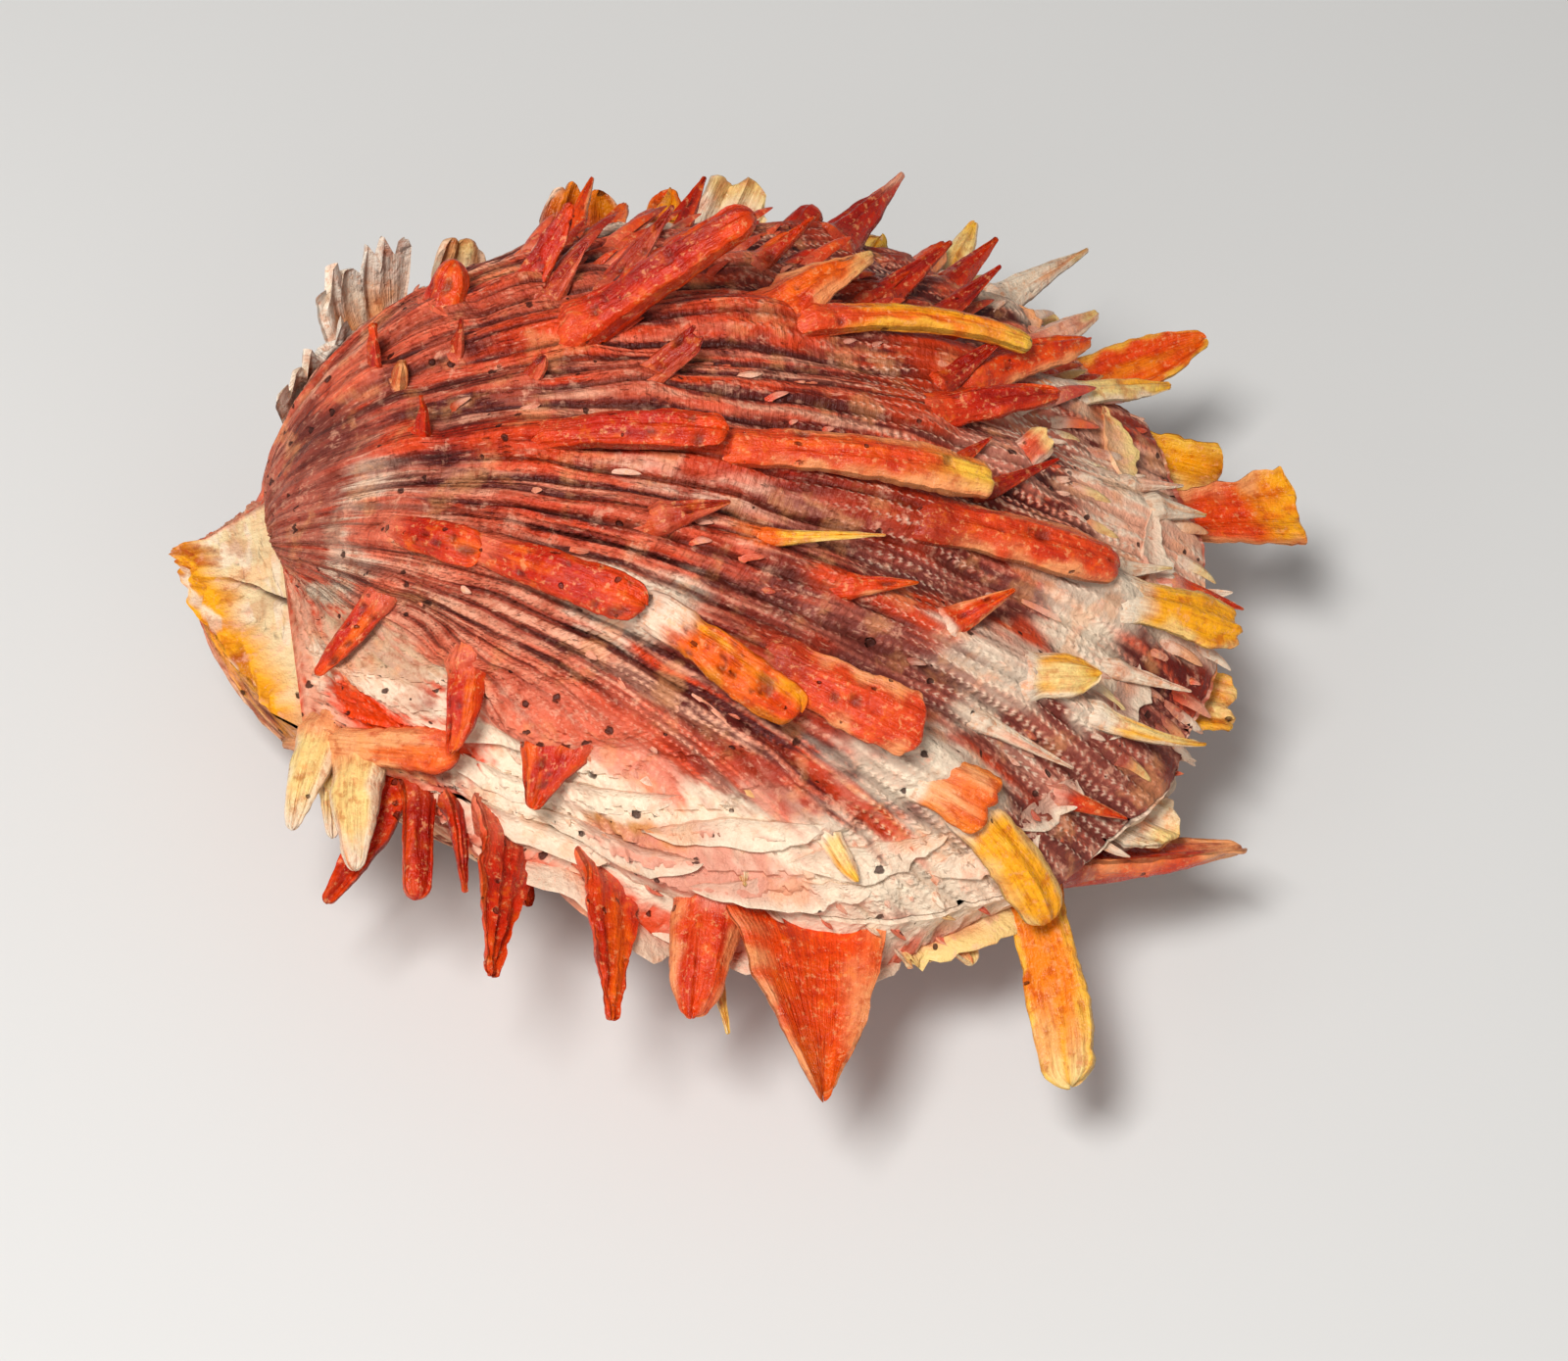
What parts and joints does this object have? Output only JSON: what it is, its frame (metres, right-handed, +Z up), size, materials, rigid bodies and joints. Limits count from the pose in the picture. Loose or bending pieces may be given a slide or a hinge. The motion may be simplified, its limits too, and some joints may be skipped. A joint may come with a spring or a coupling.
{
  "type": "thorny oyster shell",
  "caption": "Closed thorny oyster shell: a domed ribbed upper valve over a deep cupped lower valve, both set with curved spines and frilled blades.",
  "frame": {"origin": "centre of the bounding box at the underside", "axes": "+X from the beak and hinge towards the far margin, +Y along the hinge, +Z up through the upper valve"},
  "size_m": [0.1216, 0.1135, 0.0659],
  "materials": {
    "upper_shell": "chalky to satin shell, purple-pink and coral red ribs, orange and yellow spines, white worn patches and small borings",
    "lower_shell": "satin shell, orange to deep red spines and blades with pale yellow edges, cream hinge area"
  },
  "bodies": {
    "root": {"upper_valve": "upper_shell", "lower_valve": "lower_shell"}
  },
  "joints": []
}
